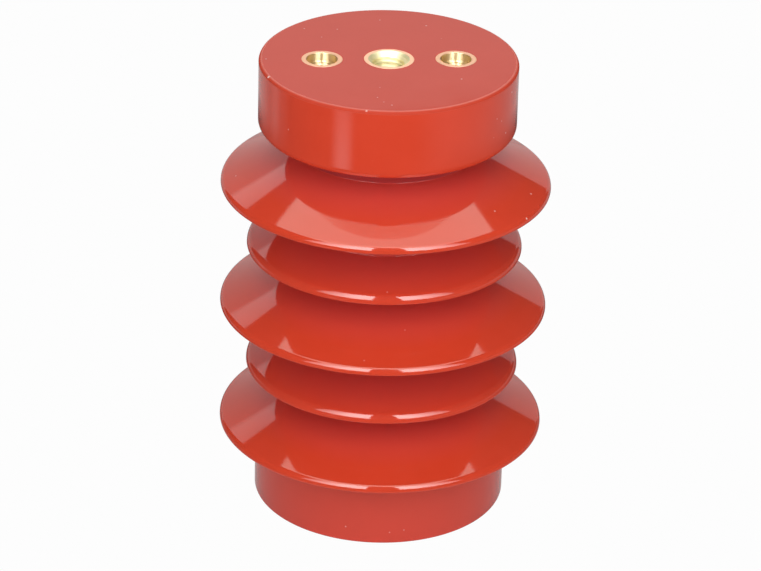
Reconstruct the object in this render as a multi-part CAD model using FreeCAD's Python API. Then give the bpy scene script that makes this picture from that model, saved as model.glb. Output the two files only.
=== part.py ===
import FreeCAD, Part
import math
import os

# A post insulator: one casting of red filled epoxy resin, with a round head, five sheds of two
# sizes on a slim trunk, and a round foot. Threaded brass inserts are cast into both ends.
# Millimetres, +Z up. The origin is the middle of the foot, in the plane that the foot stands on.
# +X runs along the row of three inserts in the head.

# The casting: its height and its round stretches
overall_height = 130.0
head_diameter = 70.0
head_height = 19.7
foot_diameter = 70.0
trunk_diameter = 50.0

# The sheds: large ones, with a small one in each gap between them
large_shed_diameter = 90.0
small_shed_diameter = 75.5
large_shed_count = 3
foot_height = 21.5
neck_height = 16.8
small_shed_lift = 17.5

# The section of a shed, and the rounding of its rim and roots
shed_top_slope = 26.0
shed_under_slope = 4.0
large_rim_upper_radius = 1.9
small_rim_upper_radius = 2.6
rim_lower_radius = 0.4
root_upper_radius = 0.3
root_under_radius = 1.5

# The edges of the head and the foot
head_edge_radius = 1.0
head_under_radius = 2.2
foot_edge_radius = 0.5

# The row of inserts in the head, and how far the inserts stand out of the resin
side_insert_spacing = 36.0
insert_stand_out = 0.0

# The middle insert of the head, for an M10 screw. Its hole is countersunk from the face.
centre_collar_diameter = 13.5
centre_insert_length = 24.0
centre_thread_core_diameter = 8.376
centre_mouth_diameter = 11.2
centre_mouth_depth = 0.0

# The outer inserts of the head, for M8 screws. A plain mouth leads to their threads.
side_collar_diameter = 11.1
side_insert_length = 20.0
side_thread_core_diameter = 6.647
side_mouth_diameter = 8.4
side_mouth_depth = 2.2

# The insert of the foot, for an M16 screw
foot_collar_diameter = 22.0
foot_insert_length = 30.0
foot_thread_core_diameter = 13.835
foot_mouth_diameter = 17.5
foot_mouth_depth = 0.0

# What all inserts share: the knurled bands, with a plain groove between them that the resin grips
collar_height = 1.5
knurl_inset = 0.15
knurl_depth = 0.5
knurl_tooth_count = 14
grip_groove_depth = 1.0
grip_groove_height = 3.0
tail_height = 1.0
drill_point_angle = 118.0
bore_floor = 3.0


class InsertSize:
    """The sizes of one kind of insert: a round brass nut with a blind threaded hole."""

    def __init__(self, collar_diameter, length, core_diameter, mouth_diameter, mouth_depth):
        self.collar_radius = collar_diameter / 2.0
        self.length = length
        self.core_radius = core_diameter / 2.0
        self.mouth_radius = mouth_diameter / 2.0
        self.mouth_depth = mouth_depth


head_centre_size = InsertSize(
    centre_collar_diameter,
    centre_insert_length,
    centre_thread_core_diameter,
    centre_mouth_diameter,
    centre_mouth_depth,
)
head_side_size = InsertSize(
    side_collar_diameter,
    side_insert_length,
    side_thread_core_diameter,
    side_mouth_diameter,
    side_mouth_depth,
)
foot_size = InsertSize(
    foot_collar_diameter,
    foot_insert_length,
    foot_thread_core_diameter,
    foot_mouth_diameter,
    foot_mouth_depth,
)


def corner_rounding(before, corner, after, radius):
    """The two tangent points and the middle of the arc that rounds a corner."""
    to_before = (before - corner).normalize()
    to_after = (after - corner).normalize()
    half_angle = to_before.getAngle(to_after) / 2.0
    reach = radius / math.tan(half_angle)
    inward = (to_before + to_after).normalize()
    start = corner + to_before * reach
    end = corner + to_after * reach
    middle = corner + inward * (radius / math.sin(half_angle) - radius)
    return start, middle, end


def rounded_outline(corners):
    """A closed wire in the XZ plane through (r, z, radius) corners, each rounded by its radius."""
    points = [FreeCAD.Vector(r, 0.0, z) for r, z, radius in corners]
    edges = []
    ends = []
    for i, (r, z, radius) in enumerate(corners):
        if radius > 0.0:
            after = points[(i + 1) % len(points)]
            start, middle, end = corner_rounding(points[i - 1], points[i], after, radius)
            ends.append((start, end, Part.Arc(start, middle, end).toShape()))
        else:
            ends.append((points[i], points[i], None))
    for i, (start, end, arc) in enumerate(ends):
        if arc:
            edges.append(arc)
        next_start = ends[(i + 1) % len(ends)][0]
        if end.distanceToPoint(next_start) > 1e-6:
            edges.append(Part.makeLine(end, next_start))
    return Part.Wire(Part.__sortEdges__(edges))


def turned(corners):
    """The solid that a closed outline sweeps in one turn about the Z axis."""
    face = Part.Face(rounded_outline(corners))
    return face.revolve(FreeCAD.Vector(0, 0, 0), FreeCAD.Vector(0, 0, 1), 360.0)


def shed_corners(rim_radius, rim_height, rim_upper_radius, radius_below):
    """The corners of one shed, from its upper root over the rim to its lower root."""
    trunk_radius = trunk_diameter / 2.0
    top_rise = math.tan(math.radians(shed_top_slope))
    under_rise = math.tan(math.radians(shed_under_slope))
    upper_reach = rim_upper_radius * math.tan(math.radians((90.0 - shed_top_slope) / 2.0))
    lower_reach = rim_lower_radius * math.tan(math.radians((90.0 + shed_under_slope) / 2.0))
    rim_middle = rim_height + rim_lower_radius
    upper_corner = rim_middle + upper_reach
    lower_corner = rim_middle - lower_reach
    upper_root = upper_corner + (rim_radius - trunk_radius) * top_rise
    lower_root = lower_corner + (rim_radius - radius_below) * under_rise
    return [
        (trunk_radius, upper_root, root_upper_radius),
        (rim_radius, upper_corner, rim_upper_radius),
        (rim_radius, lower_corner, rim_lower_radius),
        (radius_below, lower_root, root_under_radius),
    ]


def shed_rims():
    """The radius, height and upper rounding of every rim, from the head down."""
    highest = overall_height - head_height - neck_height
    pitch = (highest - foot_height) / (large_shed_count - 1)
    large_radius = large_shed_diameter / 2.0
    small_radius = small_shed_diameter / 2.0
    rims = []
    for i in range(large_shed_count):
        height = foot_height + i * pitch
        rims.append((large_radius, height, large_rim_upper_radius))
        if i < large_shed_count - 1:
            rims.append((small_radius, height + small_shed_lift, small_rim_upper_radius))
    return rims[::-1]


def casting():
    """The resin, with no holes in it yet."""
    head_radius = head_diameter / 2.0
    foot_radius = foot_diameter / 2.0
    trunk_radius = trunk_diameter / 2.0
    head_bottom = overall_height - head_height
    corners = [
        (0.0, overall_height, 0.0),
        (head_radius, overall_height, head_edge_radius),
        (head_radius, head_bottom, head_under_radius),
        (trunk_radius, head_bottom, root_under_radius),
    ]
    rims = shed_rims()
    for rim_radius, rim_height, rounding in rims[:-1]:
        corners += shed_corners(rim_radius, rim_height, rounding, trunk_radius)
    rim_radius, rim_height, rounding = rims[-1]
    corners += shed_corners(rim_radius, rim_height, rounding, foot_radius)
    corners += [
        (foot_radius, 0.0, foot_edge_radius),
        (0.0, 0.0, 0.0),
    ]
    return turned(corners)


def knurled_band(tip_radius, top, height):
    """A ring of straight teeth, as a prism with a pointed outline."""
    points = []
    for i in range(2 * knurl_tooth_count + 1):
        angle = math.pi * i / knurl_tooth_count
        radius = tip_radius - knurl_depth * (i % 2)
        points.append(FreeCAD.Vector(radius * math.cos(angle), radius * math.sin(angle), top))
    face = Part.Face(Part.makePolygon(points))
    return face.extrude(FreeCAD.Vector(0, 0, -height))


def insert_outside(size):
    """An insert before its hole is drilled. Its face is at z = 0 and it reaches down."""
    tip_radius = size.collar_radius - knurl_inset
    groove_radius = size.collar_radius - grip_groove_depth
    band_height = (size.length - collar_height - grip_groove_height - tail_height) / 2.0
    upper_band = -collar_height
    lower_band = upper_band - band_height - grip_groove_height
    collar_foot = FreeCAD.Vector(0, 0, -collar_height)
    collar = Part.makeCylinder(size.collar_radius, collar_height, collar_foot)
    core = Part.makeCylinder(groove_radius, size.length, FreeCAD.Vector(0, 0, -size.length))
    bands = [knurled_band(tip_radius, top, band_height) for top in (upper_band, lower_band)]
    return core.fuse([collar] + bands).removeSplitter()


def insert_hole(size):
    """The hole of an insert: its mouth, a 45 degree cone, the thread's core and a drill point."""
    depth = size.length - bore_floor
    point_depth = size.core_radius / math.tan(math.radians(drill_point_angle / 2.0))
    cone_depth = size.mouth_radius - size.core_radius
    corners = [(0.0, 0.0, 0.0), (size.mouth_radius, 0.0, 0.0)]
    if size.mouth_depth > 0.0:
        corners.append((size.mouth_radius, -size.mouth_depth, 0.0))
    corners += [
        (size.core_radius, -size.mouth_depth - cone_depth, 0.0),
        (size.core_radius, point_depth - depth, 0.0),
        (0.0, -depth, 0.0),
    ]
    return turned(corners)


def placed(shape, x, z, upside_down):
    """A copy of an insert's shape, moved to its place, with its face up or down."""
    copy = shape.copy()
    if upside_down:
        copy.rotate(FreeCAD.Vector(0, 0, 0), FreeCAD.Vector(1, 0, 0), 180.0)
    copy.translate(FreeCAD.Vector(x, 0, z))
    return copy


def insert_places():
    """The name, size, x, face height and direction of every insert."""
    head_face = overall_height + insert_stand_out
    half_row = side_insert_spacing / 2.0
    return [
        ("head_centre_insert", head_centre_size, 0.0, head_face, False),
        ("head_side_insert_left", head_side_size, -half_row, head_face, False),
        ("head_side_insert_right", head_side_size, half_row, head_face, False),
        ("foot_insert", foot_size, 0.0, -insert_stand_out, True),
    ]


def write(name, shape):
    if not shape.isValid() or len(shape.Solids) != 1:
        raise ValueError(name + " isn't one valid solid")
    shape.Solids[0].exportStep("parts/" + name + ".step")


def main():
    os.makedirs("parts", exist_ok=True)
    body = casting()
    for name, size, x, z, upside_down in insert_places():
        outside = insert_outside(size)
        insert = outside.cut(insert_hole(size))
        body = body.cut(placed(outside, x, z, upside_down))
        write(name, placed(insert, x, z, upside_down))
    write("insulator_body", body)


main()
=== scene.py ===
import bpy
import math
from collections import namedtuple
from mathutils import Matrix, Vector
from mathutils.geometry import tessellate_polygon


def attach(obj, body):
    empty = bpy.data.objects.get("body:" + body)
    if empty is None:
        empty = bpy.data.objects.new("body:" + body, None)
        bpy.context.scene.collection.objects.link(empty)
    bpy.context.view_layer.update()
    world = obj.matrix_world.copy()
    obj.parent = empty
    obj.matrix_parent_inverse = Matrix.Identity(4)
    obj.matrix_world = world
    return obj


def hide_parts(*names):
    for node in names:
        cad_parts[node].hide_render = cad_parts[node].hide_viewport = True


# A post insulator cast in glossy red epoxy resin, with bright brass inserts, on a white ground.
# The scene is in metres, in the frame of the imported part: +Z up, the origin in the middle of the
# foot, and the row of inserts along X. Sizes below are in millimetres and degrees, and are turned
# into metres by MM. Only the scales of noise, and the places that the studio's materials read, are
# in metres.

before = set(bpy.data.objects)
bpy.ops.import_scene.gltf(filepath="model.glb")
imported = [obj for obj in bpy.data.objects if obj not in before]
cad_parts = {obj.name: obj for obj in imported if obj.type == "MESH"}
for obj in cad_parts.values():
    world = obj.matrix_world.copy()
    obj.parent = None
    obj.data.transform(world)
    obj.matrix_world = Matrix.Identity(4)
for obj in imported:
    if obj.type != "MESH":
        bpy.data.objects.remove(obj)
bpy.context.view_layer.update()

MM = 0.001

# The casting, as in the part's source
HEIGHT = 130.0
HEAD_HEIGHT = 19.7
NECK_HEIGHT = 16.8
FOOT_HEIGHT = 21.5
TRUNK = 25.0
END = 35.0
LARGE_SHED = 45.0
SMALL_SHED = 37.75
LARGE_SHED_COUNT = 3
SMALL_SHED_LIFT = 17.5
TOP_SLOPE = 26.0
UNDER_SLOPE = 4.0
LARGE_RIM_ROUNDING = 1.9
SMALL_RIM_ROUNDING = 2.6
LOWER_RIM_ROUNDING = 0.4
UPPER_ROOT_ROUNDING = 0.3
LOWER_ROOT_ROUNDING = 1.5
HEAD_EDGE_ROUNDING = 1.0
HEAD_UNDER_ROUNDING = 2.2
FOOT_EDGE_ROUNDING = 0.5
HEAD_BOTTOM = HEIGHT - HEAD_HEIGHT

# The inserts. Sizes are radii, and the thread has a core, an outer radius and a pitch.
InsertSize = namedtuple("InsertSize", "collar length core outer pitch mouth mouth_depth")
M10_INSERT = InsertSize(6.75, 24.0, 4.188, 5.0, 1.5, 5.6, 0.0)
M8_INSERT = InsertSize(5.55, 20.0, 3.3235, 4.0, 1.25, 4.2, 2.2)
M16_INSERT = InsertSize(11.0, 30.0, 6.9175, 8.0, 2.0, 8.75, 0.0)
SIDE_INSERT_SPACING = 36.0
COLLAR_HEIGHT = 1.5
KNURL_INSET = 0.15
KNURL_DEPTH = 0.5
KNURL_TEETH = 14
GROOVE_DEPTH = 1.0
GROOVE_HEIGHT = 3.0
TAIL_HEIGHT = 1.0
BORE_FLOOR = 3.0
DRILL_POINT_ANGLE = 118.0
EDGE_BREAK = 0.08
THREAD_END = 1.0

# The flat at a thread's root and the length of its flank, as shares of half a pitch
ROOT_FLAT = 0.125
FLANK = 0.625

# How finely round shapes are divided
TURN_STEPS = 256
ARC_STEPS = 10
INSERT_STEPS = 112
STEPS_PER_PITCH = 16
SHARP_ANGLE = 32.0

# Where each insert stands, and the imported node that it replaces
Place = namedtuple("Place", "cad_node name size x z upside_down")
half_row = SIDE_INSERT_SPACING / 2.0
INSERTS = (
    Place("head_centre_insert", "head_centre_insert_threaded", M10_INSERT, 0.0, HEIGHT, False),
    Place("head_side_insert_left", "head_side_insert_left_threaded", M8_INSERT, -half_row, HEIGHT, False),
    Place("head_side_insert_right", "head_side_insert_right_threaded", M8_INSERT, half_row, HEIGHT, False),
    Place("foot_insert", "foot_insert_threaded", M16_INSERT, 0.0, 0.0, True),
)

# Pale specks and small chips where filler lies bare, each with its size and strength at the end.
# Those on the top face start with x and y. The others start with the angle from the front,
# towards the right, and the height.
TOP_SPECKS = (
    (-1.0, 27.0, 0.30, 0.5), (-22.0, 21.0, 0.30, 0.5), (-13.0, 20.5, 0.30, 0.5),
    (11.5, 23.0, 0.35, 0.5), (-17.5, 15.0, 0.25, 0.5), (18.5, -13.5, 0.30, 0.7),
    (-3.5, -19.0, 0.25, 0.5), (-4.5, -25.5, 0.25, 0.7), (-1.0, -30.5, 0.30, 0.7),
    (-3.0, -28.5, 0.25, 0.5), (-33.0, 0.0, 0.30, 0.6), (15.0, 14.0, 0.20, 0.4),
)
SIDE_SPECKS = (
    (-70.5, 129.8, 0.50, 1.0), (-13.0, 129.8, 0.35, 0.8), (66.0, 126.5, 0.35, 0.6),
    (60.5, 116.0, 0.30, 0.8), (52.0, 122.0, 0.25, 0.5), (56.0, 120.5, 0.25, 0.4),
    (50.0, 117.0, 0.20, 0.4), (-52.0, 119.0, 0.30, 0.4), (61.0, 111.5, 0.25, 0.7),
    (-85.5, 97.0, 0.30, 0.6), (68.5, 97.0, 0.35, 0.8), (44.5, 98.0, 0.30, 0.8),
    (54.0, 95.0, 0.35, 1.0), (-10.0, 60.5, 0.25, 0.6), (7.0, 65.0, 0.25, 0.5),
    (-2.0, 78.0, 0.25, 0.5), (-18.0, 4.5, 0.25, 0.7), (2.0, 3.5, 0.25, 0.6),
    (8.5, 4.0, 0.25, 0.7),
)
SPECK_RAGGEDNESS = 0.22

# Colours
RESIN = (0.64, 0.053, 0.021)
RESIN_PALER = (0.66, 0.057, 0.024)
# Painted shade: a more crimson tint for the resin between the sheds
RESIN_PAINTED_SHADE_BETWEEN_SHEDS = (0.63, 0.064, 0.052)
# Painted shade: darker resin on the trunk under the head
RESIN_NECK_PAINTED_SHADE = (0.42, 0.040, 0.040)
# Painted shade: darker resin on the rubbed rounded edge of the head
RESIN_EDGE_PAINTED_SHADE = (0.56, 0.046, 0.018)
GRAIN = (0.75, 0.18, 0.10)
SPECK = (0.95, 0.72, 0.66)
# A painted highlight: the pale line along the head's top edge
EDGE_PAINTED_HIGHLIGHT = (0.95, 0.40, 0.34)
BRASS = (0.84, 0.68, 0.41)
BRASS_STAINED = (0.80, 0.60, 0.34)
BRASS_PALER = (0.86, 0.80, 0.54)
BRASS_FACE = (0.90, 0.55, 0.37)
BRASS_FACE_PALER = (0.88, 0.55, 0.39)
OVERHEAD_TINT = (1.0, 0.97, 0.86)
PAPER_WHITE = 0.982


# Helpers for node materials. Values are numbers, colours or output sockets, and most helpers
# return an output socket.

def new_material(name):
    material = bpy.data.materials.new(name)
    material.use_nodes = True
    material.node_tree.nodes.clear()
    return material, material.node_tree


def node(tree, kind, **settings):
    made = tree.nodes.new(kind)
    for key, value in settings.items():
        setattr(made, key, value)
    return made


def feed(tree, value, socket):
    """Gives an input socket a number, a colour or a link."""
    if isinstance(value, (int, float)):
        socket.default_value = value
    elif isinstance(value, tuple):
        socket.default_value = (*value, 1.0)
    else:
        tree.links.new(value, socket)


def maths(tree, operation, *values):
    made = node(tree, "ShaderNodeMath", operation=operation)
    for value, socket in zip(values, made.inputs):
        feed(tree, value, socket)
    return made.outputs[0]


def times(tree, a, b):
    return maths(tree, "MULTIPLY", a, b)


def plus(tree, a, b):
    return maths(tree, "ADD", a, b)


def length_of(tree, a, b):
    """The length of a flat vector from its two parts."""
    return maths(tree, "SQRT", plus(tree, times(tree, a, a), times(tree, b, b)))


def noise(tree, coords, scale, detail):
    made = node(tree, "ShaderNodeTexNoise")
    made.inputs["Scale"].default_value = scale
    made.inputs["Detail"].default_value = detail
    made.inputs["Roughness"].default_value = 0.55
    tree.links.new(coords, made.inputs["Vector"])
    return made.outputs["Fac"]


def ranged(tree, value, low, high, to_low, to_high):
    made = node(tree, "ShaderNodeMapRange")
    settings = (("From Min", low), ("From Max", high), ("To Min", to_low), ("To Max", to_high))
    tree.links.new(value, made.inputs["Value"])
    for name, number in settings:
        made.inputs[name].default_value = number
    return made.outputs["Result"]


def between(tree, length, start, full):
    """0 to 1 as a length in metres goes from start to full, which are in millimetres."""
    return ranged(tree, length, start * MM, full * MM, 0.0, 1.0)


# A mix node has sockets for numbers, vectors and colours. These are the ones for colours.
MIX_SHARE, MIX_FIRST, MIX_SECOND = 0, 6, 7
MIX_RESULT = 2


def mixed(tree, share, first, second):
    """A mix of two colours."""
    made = node(tree, "ShaderNodeMix", data_type="RGBA")
    for value, socket in ((share, MIX_SHARE), (first, MIX_FIRST), (second, MIX_SECOND)):
        feed(tree, value, made.inputs[socket])
    return made.outputs[MIX_RESULT]


def ramp(tree, value, stops):
    """Grey levels by position along a value that runs from 0 to 1."""
    made = node(tree, "ShaderNodeValToRGB")
    made.color_ramp.interpolation = "EASE"
    points = made.color_ramp.elements
    while len(points) < len(stops):
        points.new(0.5)
    for point, (place, level) in zip(points, stops):
        point.position = place
        point.color = (level, level, level, 1.0)
    tree.links.new(value, made.inputs[0])
    return made.outputs[0]


def mixed_shaders(tree, share, first, second):
    made = node(tree, "ShaderNodeMixShader")
    for value, socket in zip((share, first, second), made.inputs):
        tree.links.new(value, socket)
    return made.outputs[0]


def emission(tree, colour, strength=1.0):
    made = node(tree, "ShaderNodeEmission")
    feed(tree, colour, made.inputs["Color"])
    feed(tree, strength, made.inputs["Strength"])
    return made.outputs["Emission"]


def show_surface(tree, shader):
    out = node(tree, "ShaderNodeOutputMaterial")
    tree.links.new(shader, out.inputs["Surface"])


def bump(tree, shader, height, distance):
    """Raises a surface by a height that runs from 0 to 1, up to a distance in millimetres."""
    made = node(tree, "ShaderNodeBump")
    made.inputs["Strength"].default_value = 1.0
    made.inputs["Distance"].default_value = distance * MM
    tree.links.new(height, made.inputs["Height"])
    tree.links.new(made.outputs["Normal"], shader.inputs["Normal"])


def object_place(tree):
    """A point's place on its object, how far it is from the object's axis, and its height."""
    where = node(tree, "ShaderNodeTexCoord").outputs["Object"]
    parts = node(tree, "ShaderNodeSeparateXYZ")
    tree.links.new(where, parts.inputs[0])
    x, y, z = parts.outputs
    return where, length_of(tree, x, y), z


# The cast resin

def casting_radius(z):
    """How far the casting reaches from its axis at a height."""
    outline = [point for point, _ in casting_outline()]
    reach = 0.0
    for above, below in zip(outline, outline[1:]):
        if below.y <= z < above.y:
            share = (z - below.y) / (above.y - below.y)
            reach = max(reach, below.x + (above.x - below.x) * share)
    return reach


def speck_places():
    """The place of every speck, with its size and strength."""
    places = [((x, y, HEIGHT), size, strength) for x, y, size, strength in TOP_SPECKS]
    for angle, z, size, strength in SIDE_SPECKS:
        turn = math.radians(angle)
        reach = casting_radius(z)
        places.append(((reach * math.sin(turn), -reach * math.cos(turn), z), size, strength))
    return places


def speck_share(tree, where):
    """How much of a speck shows at a point. Each is a small blot with a ragged edge."""
    ragged = times(tree, noise(tree, where, scale=5000.0, detail=2.0), SPECK_RAGGEDNESS * MM)
    share = 0.0
    for place, size, strength in speck_places():
        away = node(tree, "ShaderNodeVectorMath", operation="DISTANCE")
        tree.links.new(where, away.inputs[0])
        away.inputs[1].default_value = [value * MM for value in place]
        reach = plus(tree, away.outputs["Value"], ragged)
        edge = (size + SPECK_RAGGEDNESS / 2.0) * MM
        blot = ranged(tree, reach, edge - SPECK_RAGGEDNESS * MM, edge, strength, 0.0)
        share = maths(tree, "MAXIMUM", share, blot)
    return share


def neck_painted_shade_share(tree, radius, z, under_head):
    """1 on the trunk between the head and the highest shed, where shade is painted in: a darker colour and
    weaker reflections.
    """
    # A level inside the highest shed, over its rim and under its upper root
    rim_to_level = 7.0
    level = HEAD_BOTTOM - NECK_HEIGHT + rim_to_level
    on_trunk = between(tree, radius, TRUNK + 0.05, TRUNK)
    above_level = between(tree, z, level - 0.5, level)
    return times(tree, times(tree, on_trunk, under_head), above_level)


def edge_wear_and_painted_light_share(tree, radius, z):
    """1 on the rounded edge of the head, which is rubbed dull, and where shade and a highlight are
    painted.
    """
    outward = END - HEAD_EDGE_ROUNDING
    upward = HEIGHT - HEAD_EDGE_ROUNDING
    fade = HEAD_EDGE_ROUNDING * 0.2
    out_there = between(tree, radius, outward, outward + fade)
    up_there = between(tree, z, upward, upward + fade)
    return times(tree, out_there, up_there)


def resin_colour(tree, where, radius, z, edge_wear_and_painted_light, neck_painted_shade, under_head):
    """The pigment isn't quite even. Between the sheds a more crimson tint is painted in as shade."""
    clouds = noise(tree, where, scale=90.0, detail=4.0)
    colour = mixed(tree, ranged(tree, clouds, 0.3, 0.7, 0.0, 1.0), RESIN, RESIN_PALER)
    # Painted shade: a more crimson tint between the sheds, close to the trunk
    near_trunk = between(tree, radius, SMALL_SHED + 1.0, TRUNK + 2.0)
    colour = mixed(tree, times(tree, under_head, near_trunk), colour, RESIN_PAINTED_SHADE_BETWEEN_SHEDS)
    # Painted shade: the trunk under the head is darker
    colour = mixed(tree, neck_painted_shade, colour, RESIN_NECK_PAINTED_SHADE)

    # Grains of filler show as faint paler points
    grains = noise(tree, where, scale=2600.0, detail=2.0)
    colour = mixed(tree, ranged(tree, grains, 0.72, 0.80, 0.0, 0.25), colour, GRAIN)
    # Painted shade: the rounded edge of the head is darker
    colour = mixed(tree, edge_wear_and_painted_light, colour, RESIN_EDGE_PAINTED_SHADE)
    colour = mixed(tree, times(tree, speck_share(tree, where), 0.9), colour, SPECK)

    # A painted highlight: a thin pale line along the rubbed edge, next to the top face
    line_low = HEIGHT - HEAD_EDGE_ROUNDING * 0.25
    line_high = HEIGHT - HEAD_EDGE_ROUNDING * 0.05
    by_face = between(tree, z, line_low, line_high)
    edge_painted_highlight = times(tree, times(tree, edge_wear_and_painted_light, by_face), 0.35)
    return mixed(tree, edge_painted_highlight, colour, EDGE_PAINTED_HIGHLIGHT)


def cast_resin():
    material, tree = new_material("cast_resin")
    shader = node(tree, "ShaderNodeBsdfPrincipled")
    show_surface(tree, shader.outputs["BSDF"])
    where, radius, z = object_place(tree)
    under_head = between(tree, z, HEAD_BOTTOM, HEAD_BOTTOM - 1.0)
    edge_wear_and_painted_light = edge_wear_and_painted_light_share(tree, radius, z)
    neck_painted_shade = neck_painted_shade_share(tree, radius, z, under_head)
    colour = resin_colour(tree, where, radius, z, edge_wear_and_painted_light, neck_painted_shade, under_head)
    tree.links.new(colour, shader.inputs["Base Color"])

    # Glossy, a little less so in places, and dull where it is rubbed. The neck reflects less, as part of
    # its painted shade.
    haze = noise(tree, where, scale=220.0, detail=5.0)
    gloss = ranged(tree, haze, 0.3, 0.75, 0.045, 0.085)
    tree.links.new(plus(tree, gloss, times(tree, edge_wear_and_painted_light, 0.75)), shader.inputs["Roughness"])
    shader.inputs["IOR"].default_value = 1.56
    dull = maths(tree, "MAXIMUM", edge_wear_and_painted_light, neck_painted_shade)
    tree.links.new(ranged(tree, dull, 0.0, 1.0, 0.5, 0.12), shader.inputs["Specular IOR Level"])

    # The skin of the casting waves very slightly
    wave = noise(tree, where, scale=120.0, detail=2.0)
    fine = noise(tree, where, scale=1500.0, detail=3.0)
    bump(tree, shader, plus(tree, wave, times(tree, fine, 0.02)), 0.012)
    return material


# The brass

def brass_colour(tree, where, faced, paler):
    """Stained in places, with a redder face. The middle insert of the head is paler than the rest."""
    stain = noise(tree, where, scale=700.0, detail=4.0)
    colour = mixed(tree, ranged(tree, stain, 0.35, 0.7, 0.0, 1.0), BRASS, BRASS_STAINED)
    colour = mixed(tree, paler, colour, BRASS_PALER)
    face_colour = mixed(tree, paler, BRASS_FACE, BRASS_FACE_PALER)
    return mixed(tree, faced, colour, face_colour)


def turned_brass():
    material, tree = new_material("brass")
    shader = node(tree, "ShaderNodeBsdfPrincipled")
    show_surface(tree, shader.outputs["BSDF"])
    where, radius, z = object_place(tree)
    paler = node(tree, "ShaderNodeAttribute", attribute_name="paler").outputs["Fac"]
    faced = node(tree, "ShaderNodeAttribute", attribute_name="faced").outputs["Fac"]
    tree.links.new(brass_colour(tree, where, faced, paler), shader.inputs["Base Color"])
    shader.inputs["Metallic"].default_value = 1.0

    # Turning marks follow the axis: they are the same all round, and change with radius and depth
    line = node(tree, "ShaderNodeCombineXYZ")
    tree.links.new(radius, line.inputs[0])
    tree.links.new(z, line.inputs[1])
    marks = noise(tree, line.outputs[0], scale=9000.0, detail=3.0)
    rough = plus(tree, ranged(tree, marks, 0.3, 0.7, 0.40, 0.48), times(tree, paler, 0.10))
    tree.links.new(rough, shader.inputs["Roughness"])
    bump(tree, shader, times(tree, marks, ranged(tree, faced, 0.0, 1.0, 1.0, 0.3)), 0.01)

    # The tool's fine grooves run round the axis, so reflections spread along it and not round it.
    # The face has none, and the middle insert has fainter ones.
    groove = node(tree, "ShaderNodeTangent", direction_type="RADIAL", axis="Z")
    tree.links.new(groove.outputs[0], shader.inputs["Tangent"])
    marked = maths(tree, "SUBTRACT", 1.0, times(tree, paler, 0.5))
    marked = times(tree, marked, maths(tree, "SUBTRACT", 1.0, faced))
    tree.links.new(marked, shader.inputs["Anisotropic"])
    shader.inputs["Anisotropic Rotation"].default_value = 0.25
    return material


# The inserts, with their real threads. Each is made of rings of points about its axis, with its
# face at z = 0 and its tail below.

def on_circle(radius, share, z):
    """A point a share of a turn round the axis."""
    angle = 2.0 * math.pi * share
    return (radius * math.cos(angle), radius * math.sin(angle), z)


def circle(radius, z):
    return [on_circle(radius, i / INSERT_STEPS, z) for i in range(INSERT_STEPS)]


def knurl(tip_radius, z):
    """A ring round the pointed outline of the knurled bands."""
    count = 2 * KNURL_TEETH
    corners = [on_circle(tip_radius - KNURL_DEPTH * (i % 2), i / count, z) for i in range(count)]
    per_side = INSERT_STEPS // count
    ring = []
    for i, (ax, ay, _) in enumerate(corners):
        bx, by, _ = corners[(i + 1) % count]
        for k in range(per_side):
            share = k / per_side
            ring.append((ax + (bx - ax) * share, ay + (by - ay) * share, z))
    return ring


def thread_ring(size, z, depth_share, least_radius):
    """A ring of the bore's wall: a right-handed 60 degree thread, its roots cut outward."""
    ring = []
    for i in range(INSERT_STEPS):
        turn = i / INSERT_STEPS
        phase = (z / size.pitch - turn) % 1.0
        from_root = abs(phase - 0.5) * 2.0
        flank = min(1.0, max(0.0, (from_root - ROOT_FLAT) / FLANK))
        depth = (size.outer - size.core) * (1.0 - flank) * depth_share
        ring.append(on_circle(max(size.core + depth, least_radius), turn, z))
    return ring


def outside_rings(size):
    """The rings round an insert, from its tail up to just under its face."""
    groove = size.collar - GROOVE_DEPTH
    tip = size.collar - KNURL_INSET
    band = (size.length - COLLAR_HEIGHT - GROOVE_HEIGHT - TAIL_HEIGHT) / 2.0
    lower_band_low = TAIL_HEIGHT - size.length
    lower_band_high = lower_band_low + band
    upper_band_low = lower_band_high + GROOVE_HEIGHT
    return [
        circle(groove, -size.length),
        circle(groove, lower_band_low),
        knurl(tip, lower_band_low),
        knurl(tip, lower_band_high),
        circle(groove, lower_band_high),
        circle(groove, upper_band_low),
        knurl(tip, upper_band_low),
        knurl(tip, -COLLAR_HEIGHT),
        circle(size.collar, -COLLAR_HEIGHT),
        circle(size.collar, -EDGE_BREAK),
    ]


def hole_rings(size):
    """The rings from the edge of an insert's face down its hole, to the top of the drill point."""
    rings = [
        circle(size.collar - EDGE_BREAK, 0.0),
        circle(size.mouth + EDGE_BREAK, 0.0),
        circle(size.mouth, -EDGE_BREAK),
    ]
    if size.mouth_depth:
        rings.append(circle(size.mouth, -size.mouth_depth))
    thread_top = -max(size.mouth_depth, EDGE_BREAK)
    point_depth = size.core / math.tan(math.radians(DRILL_POINT_ANGLE / 2.0))
    wall_end = BORE_FLOOR - size.length + point_depth
    step = size.pitch / STEPS_PER_PITCH
    for i in range(1, int((thread_top - wall_end) / step)):
        z = thread_top - i * step
        cone = size.mouth + size.mouth_depth + z
        depth_share = min(1.0, max(0.0, (z - wall_end - THREAD_END) / size.pitch))
        rings.append(thread_ring(size, z, depth_share, max(size.core, cone)))
    rings.append(circle(size.core, wall_end))
    return rings


def linked_object(name, mesh):
    made = bpy.data.objects.new(name, mesh)
    bpy.context.scene.collection.objects.link(made)
    return made


def smooth_mesh(name, points, faces):
    """A mesh from points in millimetres, smooth but for its sharp edges."""
    mesh = bpy.data.meshes.new(name)
    mesh.from_pydata([(x * MM, y * MM, z * MM) for x, y, z in points], [], faces)
    mesh.shade_smooth()
    mesh.set_sharp_from_angle(angle=math.radians(SHARP_ANGLE))
    return mesh


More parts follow.
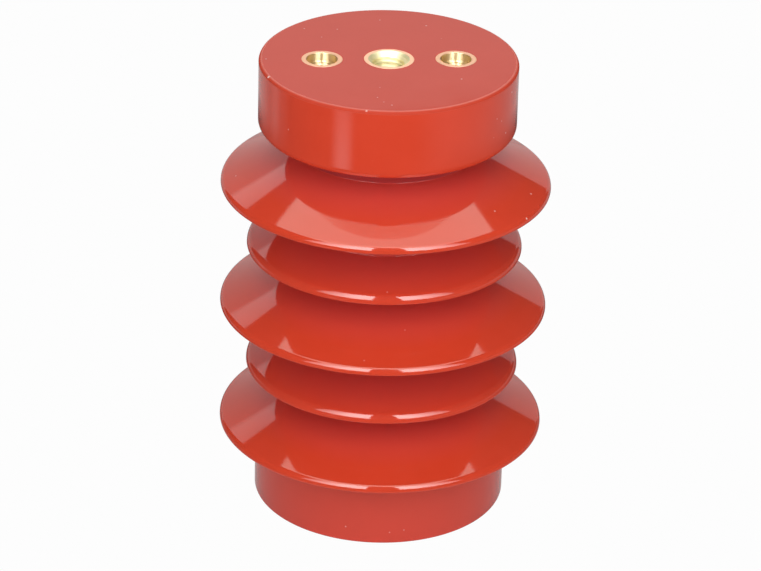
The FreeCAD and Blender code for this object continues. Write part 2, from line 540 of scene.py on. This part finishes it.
def make_insert(place):
    size = place.size
    rings = outside_rings(size) + hole_rings(size)
    points = [point for ring in rings for point in ring]
    faces = []
    for k in range(len(rings) - 1):
        for i in range(INSERT_STEPS):
            j = (i + 1) % INSERT_STEPS
            a = k * INSERT_STEPS + i
            b = k * INSERT_STEPS + j
            faces.append((a, b, b + INSERT_STEPS, a + INSERT_STEPS))
    last = (len(rings) - 1) * INSERT_STEPS
    tail = len(points)
    drill_tip = tail + 1
    points += [(0.0, 0.0, -size.length), (0.0, 0.0, BORE_FLOOR - size.length)]
    for i in range(INSERT_STEPS):
        j = (i + 1) % INSERT_STEPS
        faces.append((tail, j, i))
        faces.append((drill_tip, last + i, last + j))
    faced = [1.0 if z == 0.0 else 0.0 for x, y, z in points]
    paler = [1.0 if size is M10_INSERT else 0.0] * len(points)
    if place.upside_down:
        points = [(x, -y, -z) for x, y, z in points]
    mesh = smooth_mesh(place.name, points, faces)
    mesh.attributes.new("faced", "FLOAT", "POINT").data.foreach_set("value", faced)
    mesh.attributes.new("paler", "FLOAT", "POINT").data.foreach_set("value", paler)
    made = linked_object(place.name, mesh)
    made.location = (place.x * MM, 0.0, place.z * MM)
    return made


# The casting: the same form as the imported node, turned in finer steps

def shed_rims():
    """The radius, height and upper rounding of every rim, from the head down."""
    highest = HEIGHT - HEAD_HEIGHT - NECK_HEIGHT
    pitch = (highest - FOOT_HEIGHT) / (LARGE_SHED_COUNT - 1)
    rims = []
    for i in range(LARGE_SHED_COUNT):
        height = FOOT_HEIGHT + i * pitch
        rims.append((LARGE_SHED, height, LARGE_RIM_ROUNDING))
        if i < LARGE_SHED_COUNT - 1:
            rims.append((SMALL_SHED, height + SMALL_SHED_LIFT, SMALL_RIM_ROUNDING))
    return rims[::-1]


def shed_corners(rim, height, rounding, below):
    """The corners of one shed: radius, height and rounding. Below is the radius under it."""
    top_rise = math.tan(math.radians(TOP_SLOPE))
    under_rise = math.tan(math.radians(UNDER_SLOPE))
    middle = height + LOWER_RIM_ROUNDING
    upper = middle + rounding * math.tan(math.radians((90.0 - TOP_SLOPE) / 2.0))
    lower = middle - LOWER_RIM_ROUNDING * math.tan(math.radians((90.0 + UNDER_SLOPE) / 2.0))
    return [
        (TRUNK, upper + (rim - TRUNK) * top_rise, UPPER_ROOT_ROUNDING),
        (rim, upper, rounding),
        (rim, lower, LOWER_RIM_ROUNDING),
        (below, lower + (rim - below) * under_rise, LOWER_ROOT_ROUNDING),
    ]


def casting_corners():
    """The corners of the casting's outline, from the middle of the head to that of the foot."""
    corners = [
        (0.0, HEIGHT, 0.0),
        (END, HEIGHT, HEAD_EDGE_ROUNDING),
        (END, HEAD_BOTTOM, HEAD_UNDER_ROUNDING),
        (TRUNK, HEAD_BOTTOM, LOWER_ROOT_ROUNDING),
    ]
    rims = shed_rims()
    for rim, height, rounding in rims[:-1]:
        corners += shed_corners(rim, height, rounding, TRUNK)
    rim, height, rounding = rims[-1]
    corners += shed_corners(rim, height, rounding, END)
    return corners + [(END, 0.0, FOOT_EDGE_ROUNDING), (0.0, 0.0, 0.0)]


def rounded_corner(before, corner, after, radius):
    """The points of a corner's arc, each with its outward normal."""
    to_before = (before - corner).normalized()
    to_after = (after - corner).normalized()
    half = to_before.angle(to_after) / 2.0
    centre = corner + (to_before + to_after).normalized() * (radius / math.sin(half))
    first = corner + to_before * (radius / math.tan(half)) - centre
    last = corner + to_after * (radius / math.tan(half)) - centre
    # Walking down the outline, outward is to the left of the way
    outward = Vector((to_before.y, -to_before.x))
    side = 1.0 if first.dot(outward) > 0.0 else -1.0
    turn = math.atan2(first.x * last.y - first.y * last.x, first.dot(last))
    start = math.atan2(first.y, first.x)
    points = []
    for k in range(ARC_STEPS + 1):
        angle = start + turn * k / ARC_STEPS
        ray = Vector((math.cos(angle), math.sin(angle)))
        points.append((centre + ray * radius, ray * side))
    return points


def casting_outline():
    """The points of the rounded outline, each with its outward normal, from top face to foot."""
    corners = casting_corners()
    places = [Vector(corner[:2]) for corner in corners]
    points = []
    for i in range(1, len(corners) - 1):
        points += rounded_corner(places[i - 1], places[i], places[i + 1], corners[i][2])
    return points


class Skin:
    """A mesh in the making: its points, its faces and the normal at each corner of a face."""

    def __init__(self):
        self.points = []
        self.faces = []
        self.normals = []

    def add_face(self, corners, normals=None):
        """Without normals, Blender works them out. It takes a null vector to mean that."""
        self.faces.append(corners)
        self.normals += normals or [(0.0, 0.0, 0.0)] * len(corners)


def spun(radial, up, step):
    """A flat vector of the outline, turned by a number of steps about the axis."""
    angle = 2.0 * math.pi * step / TURN_STEPS
    return (radial * math.cos(angle), radial * math.sin(angle), up)


def add_turned_outline(skin, outline):
    for point, _ in outline:
        skin.points += [spun(point.x, point.y, i) for i in range(TURN_STEPS)]
    for k in range(len(outline) - 1):
        high = k * TURN_STEPS
        low = high + TURN_STEPS
        for i in range(TURN_STEPS):
            j = (i + 1) % TURN_STEPS
            above = outline[k][1]
            below = outline[k + 1][1]
            skin.add_face(
                (high + i, low + i, low + j, high + j),
                [spun(above.x, above.y, i), spun(below.x, below.y, i),
                 spun(below.x, below.y, j), spun(above.x, above.y, j)],
            )


def add_socket(skin, place):
    """The hole that an insert fills, as deep and wide as its outside. Returns its mouth's ring."""
    rings = outside_rings(place.size)
    depth = place.size.length
    if place.upside_down:
        rings = [[(x, -y, -z) for x, y, z in ring] for ring in rings]
        depth = -depth
    first = len(skin.points)
    skin.points += [(x + place.x, y, z + place.z) for ring in rings for x, y, z in ring]
    mouth = len(skin.points)
    skin.points += [(x + place.x, y, place.z) for x, y, z in rings[-1]]
    for k in range(len(rings)):
        for i in range(INSERT_STEPS):
            j = (i + 1) % INSERT_STEPS
            a = first + k * INSERT_STEPS + i
            b = first + k * INSERT_STEPS + j
            skin.add_face((a, a + INSERT_STEPS, b + INSERT_STEPS, b))
    middle = len(skin.points)
    skin.points.append((place.x, 0.0, place.z - depth))
    for i in range(INSERT_STEPS):
        skin.add_face((middle, first + i, first + (i + 1) % INSERT_STEPS))
    return list(range(mouth, mouth + INSERT_STEPS))


def add_flat_face(skin, outer, holes, up):
    """Triangles that fill a flat face between its outer ring and its holes."""
    rings = [outer] + holes
    loops = [[Vector(skin.points[k]) for k in ring] for ring in rings]
    order = [k for ring in rings for k in ring]
    normal = (0.0, 0.0, 1.0 if up else -1.0)
    for corners in tessellate_polygon(loops):
        a, b, c = [order[k] for k in corners]
        pa, pb, pc = [Vector(skin.points[k]) for k in (a, b, c)]
        faces_up = (pb - pa).cross(pc - pa).z > 0.0
        skin.add_face((a, b, c) if faces_up == up else (a, c, b), [normal] * 3)


def make_casting(name):
    outline = casting_outline()
    skin = Skin()
    add_turned_outline(skin, outline)
    mouths = {True: [], False: []}
    for place in INSERTS:
        mouths[place.upside_down].append(add_socket(skin, place))
    last = (len(outline) - 1) * TURN_STEPS
    add_flat_face(skin, list(range(TURN_STEPS)), mouths[False], True)
    add_flat_face(skin, list(range(last, last + TURN_STEPS)), mouths[True], False)
    mesh = smooth_mesh(name, skin.points, skin.faces)
    mesh.normals_split_custom_set(skin.normals)
    return linked_object(name, mesh)


def make_insulator():
    resin = cast_resin()
    brass = turned_brass()
    casting = make_casting("insulator_body_turned")
    casting.data.materials.append(resin)
    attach(casting, "root")
    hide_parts("insulator_body")
    for place in INSERTS:
        piece = make_insert(place)
        piece.data.materials.append(brass)
        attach(piece, "root")
        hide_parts(place.cad_node)


# The studio. Its directions are right, back and up as the camera sees them. Its lights lie about a
# metre from the object. What glossy surfaces show of a light and what lights the rest are set
# apart, so that neither highlights nor pale surfaces clip.

VIEW_TURN = math.radians(-3.85)
RIGHT = Vector((math.cos(VIEW_TURN), math.sin(VIEW_TURN), 0.0))
BACK = Vector((-math.sin(VIEW_TURN), math.cos(VIEW_TURN), 0.0))
SOFTBOX_DISTANCE = 1100.0
BACKDROP_DISTANCE = 1000.0
OVERHEAD_HEIGHT = 1000.0


def at(right, back, up):
    spot = RIGHT * right + BACK * back
    return (spot.x, spot.y, up)


def round_axis(azimuth, distance, up):
    """A point at a distance from the axis. Azimuth 0 is on the camera's side."""
    turn = math.radians(azimuth)
    return at(distance * math.sin(turn), -distance * math.cos(turn), up)


def towards(azimuth, elevation, height):
    """The place of a softbox in a direction from the axis at that height."""
    rise = math.radians(elevation)
    flat = SOFTBOX_DISTANCE * math.cos(rise)
    return round_axis(azimuth, flat, height + SOFTBOX_DISTANCE * math.sin(rise))


def studio_place(tree):
    """Where a point of the studio lies, right and back of the axis, in metres."""
    spot = node(tree, "ShaderNodeNewGeometry").outputs["Position"]
    places = []
    for axis in (RIGHT, BACK):
        along = node(tree, "ShaderNodeVectorMath", operation="DOT_PRODUCT")
        tree.links.new(spot, along.inputs[0])
        along.inputs[1].default_value = axis
        places.append(along.outputs["Value"])
    return places


def studio_azimuth(tree):
    """0 to 1 round the object, from behind over the left, the front (0.5) and the right."""
    right, back = studio_place(tree)
    angle = maths(tree, "ARCTAN2", right, times(tree, back, -1.0))
    return plus(tree, maths(tree, "DIVIDE", angle, 2.0 * math.pi), 0.5)


def studio_reach(tree):
    """How far a point of the studio is from the axis, in metres."""
    right, back = studio_place(tree)
    return length_of(tree, right, back)


def light(name, strength, colour=(1.0, 1.0, 1.0)):
    """A material that glows. Its strength is a number, or a function that makes it in the tree."""
    material, tree = new_material(name)
    level = strength(tree) if callable(strength) else strength
    show_surface(tree, emission(tree, colour, level))
    return material


def card(name, corners, material, camera=False, diffuse=True, glossy=True):
    """A flat card through its corners, in millimetres."""
    mesh = bpy.data.meshes.new(name)
    mesh.from_pydata([(x * MM, y * MM, z * MM) for x, y, z in corners], [], [range(len(corners))])
    made = linked_object(name, mesh)
    made.data.materials.append(material)
    made.visible_camera = camera
    made.visible_diffuse = diffuse
    made.visible_glossy = glossy
    made.visible_shadow = False
    return made


def softbox_corners(start, end, low, high, height):
    """The corners of a softbox between two azimuths and two elevations."""
    directions = ((start, low), (end, low), (end, high), (start, high))
    return [towards(azimuth, elevation, height) for azimuth, elevation in directions]


def overhead_light():
    """A softbox above and a little behind, which looks brighter towards the camera."""
    left, right, near, far = -515, 510, -430, 800
    outline = ((left, near), (right, near), (right, far), (left, far))
    corners = [at(x, y, OVERHEAD_HEIGHT) for x, y in outline]

    def shown(tree):
        _, back = studio_place(tree)
        return ranged(tree, back, -0.35, 0.15, 4.2, 2.6)

    card("overhead", corners, light("overhead_softbox", shown, OVERHEAD_TINT), diffuse=False)
    card("overhead_fill", corners, light("overhead_fill", 0.94), glossy=False)


def front_lights():
    """Two softboxes left and right of the camera, which fade towards their outer sides."""
    low, high, height = 13, 59, 90.0
    weak, strong, fade_share = 2.0, 9.0, 0.45
    for name, inner, outer in (("front_left", -8.0, -54.0), ("front_right", 15.0, 59.0)):
        def shown(tree):
            turn = times(tree, maths(tree, "SUBTRACT", studio_azimuth(tree), 0.5), 360.0)
            return ranged(tree, turn, outer, outer * fade_share, weak, strong)

        corners = softbox_corners(inner, outer, low, high, height)
        card(name, corners, light(name + "_softbox", shown), diffuse=False)


def fill_lights():
    """The light that dull surfaces get from the front and from both sides."""
    fills = (
        ("front_fill", -38, 50, 12, 57, 60.0, 2.62),
        ("left_fill", -50, -110, 0, 40, 40.0, 0.46),
        ("right_fill", 60, 115, 0, 40, 40.0, 0.28),
    )
    for name, start, end, low, high, height, strength in fills:
        card(name, softbox_corners(start, end, low, high, height), light(name, strength), glossy=False)


def backdrop():
    """Pale cards behind, which the camera doesn't see. The upper left and the one above are brighter."""
    far_left, far_right, bottom = -940, 700, -300
    slant = [(-560, 740), (-620, 900), (-700, 1110), (far_left, 1130)]
    brighter_low = 640
    in_front = BACKDROP_DISTANCE - 5
    base_level = 0.63

    def shown(tree):
        # It fades into the backdrop below along a soft and uneven edge
        right, _ = studio_place(tree)
        spot = node(tree, "ShaderNodeNewGeometry").outputs["Position"]
        parts = node(tree, "ShaderNodeSeparateXYZ")
        tree.links.new(spot, parts.inputs[0])
        uneven = times(tree, noise(tree, spot, scale=7.0, detail=2.0), 0.16)
        share = ranged(tree, plus(tree, parts.outputs[2], uneven), 0.77, 0.87, 0.0, 1.0)
        added = ranged(tree, right, -0.90, -0.64, 0.50, 0.85)
        return plus(tree, times(tree, share, added), base_level)

    outline = [(far_left, bottom), (far_right, bottom), (far_right, 430)] + slant
    corners = [at(right, BACKDROP_DISTANCE, up) for right, up in outline]
    card("backdrop", corners, light("backdrop", base_level))
    outline = [(far_left, brighter_low), (slant[0][0] + 5, brighter_low)] + slant
    corners = [at(right, in_front, up) for right, up in outline]
    card("backdrop_upper_left", corners, light("backdrop_upper_left", shown), diffuse=False)
    outline = [(-440, 690), (530, 660), (530, 900), (-440, 900)]
    corners = [at(right, in_front, up) for right, up in outline]
    card("backdrop_above", corners, light("backdrop_above", 1.2), diffuse=False)


def clear_from_behind(tree, shader):
    """The same shader, but clear on the card's back side."""
    side = node(tree, "ShaderNodeNewGeometry").outputs["Backfacing"]
    clear = node(tree, "ShaderNodeBsdfTransparent").outputs["BSDF"]
    return mixed_shaders(tree, side, shader, clear)


def far_side_flag():
    """A grey card across the object, which the camera doesn't see. Reflections on the far half show
    it in place of the bright softboxes. It is clear from the camera's side, and open over the head."""
    material, tree = new_material("flag")
    show_surface(tree, clear_from_behind(tree, emission(tree, (1.0, 1.0, 1.0), 0.4)))
    wide, high, place = 300, 300, -10
    gap_side = END + 1
    gap_low = HEIGHT - 1
    left_part = [(-wide, 0), (-wide, high), (-gap_side, high), (-gap_side, gap_low)]
    right_part = [(-right, up) for right, up in left_part[::-1]]
    outline = left_part + right_part
    card("flag", [at(right, place, up) for right, up in outline], material, diffuse=False)


def ground_levels(tree):
    """What reflections show of the ground. It is pale close to the object and dim round that.
    Further out it is pale behind and on the right, and dim in front and on the left."""
    far = ramp(tree, studio_azimuth(tree), (
        (0.0, 0.52), (0.12, 0.50), (0.16, 0.40), (0.19, 0.58), (0.22, 0.30), (0.25, 0.12),
        (0.33, 0.07), (0.55, 0.07), (0.64, 0.36), (0.80, 0.48), (1.0, 0.52),
    ))
    near = (0.46, 0.46, 0.46)
    dim = (0.09, 0.09, 0.09)
    reach = studio_reach(tree)
    levels = mixed(tree, ranged(tree, reach, 0.07, 0.14, 0.0, 1.0), near, dim)
    return mixed(tree, ranged(tree, reach, 0.262, 0.285, 0.0, 1.0), levels, far)


def ground():
    """White to the camera from above, and clear from below. Reflections show its own levels, and to
    all other light it is a pale dull surface."""
    material, tree = new_material("ground")
    path = node(tree, "ShaderNodeLightPath")
    dull = node(tree, "ShaderNodeBsdfDiffuse")
    dull.inputs["Color"].default_value = (0.85, 0.85, 0.85, 1.0)
    shown = emission(tree, ground_levels(tree))
    white = emission(tree, (PAPER_WHITE, PAPER_WHITE, PAPER_WHITE))
    lit = mixed_shaders(tree, path.outputs["Is Glossy Ray"], dull.outputs["BSDF"], shown)
    seen = clear_from_behind(tree, white)
    show_surface(tree, mixed_shaders(tree, path.outputs["Is Camera Ray"], lit, seen))
    half, drop = 9000, 0.2
    outline = ((-half, -half), (half, -half), (half, half), (-half, half))
    made = card("ground", [(x, y, -drop) for x, y in outline], material, camera=True)
    made.visible_shadow = True


def pool_of_light():
    """A pool of light on the ground, front left, that the head's side shows as a soft streak."""
    material, tree = new_material("pool")
    levels = ramp(tree, studio_azimuth(tree), ((0.362, 0.0), (0.394, 1.0), (0.402, 1.0), (0.430, 0.0)))
    strength = ranged(tree, studio_reach(tree), 0.285, 0.335, 1.35, 0.7)
    clear = node(tree, "ShaderNodeBsdfTransparent").outputs["BSDF"]
    glow = emission(tree, (1.0, 1.0, 1.0), strength)
    show_surface(tree, mixed_shaders(tree, levels, clear, glow))
    start, end, near, far, lift = -65, -20, 275, 480, 1.0
    outline = ((start, near), (end, near), (end, far), (start, far))
    card("pool", [round_axis(azimuth, reach, lift) for azimuth, reach in outline], material, diffuse=False)


def background(tree, level):
    made = node(tree, "ShaderNodeBackground")
    made.inputs["Color"].default_value = (level, level, level, 1.0)
    return made.outputs["Background"]


def room():
    """White to the camera, dim to everything else."""
    world = bpy.data.worlds.new("room")
    bpy.context.scene.world = world
    world.use_nodes = True
    tree = world.node_tree
    tree.nodes.clear()
    path = node(tree, "ShaderNodeLightPath")
    dim = background(tree, 0.26)
    dark = background(tree, 0.06)
    lit = mixed_shaders(tree, path.outputs["Is Glossy Ray"], dim, dark)
    seen = mixed_shaders(tree, path.outputs["Is Camera Ray"], lit, background(tree, PAPER_WHITE))
    out = node(tree, "ShaderNodeOutputWorld")
    tree.links.new(seen, out.inputs["Surface"])


def photo_camera():
    """The camera of the photo, fitted to the outline of the object."""
    place = (-60.84, -905.08, 518.35)
    turn = (63.2829, -1.3301, -3.1306)
    lens = bpy.data.cameras.new("camera")
    lens.sensor_width = 36.0
    lens.lens = 173.76
    lens.clip_start = 0.01
    lens.clip_end = 100.0
    made = linked_object("camera", lens)
    made.location = [value * MM for value in place]
    made.rotation_euler = [math.radians(value) for value in turn]
    bpy.context.scene.camera = made


make_insulator()
overhead_light()
front_lights()
fill_lights()
backdrop()
far_side_flag()
ground()
pool_of_light()
room()
photo_camera()
bpy.context.scene.view_settings.view_transform = "Standard"
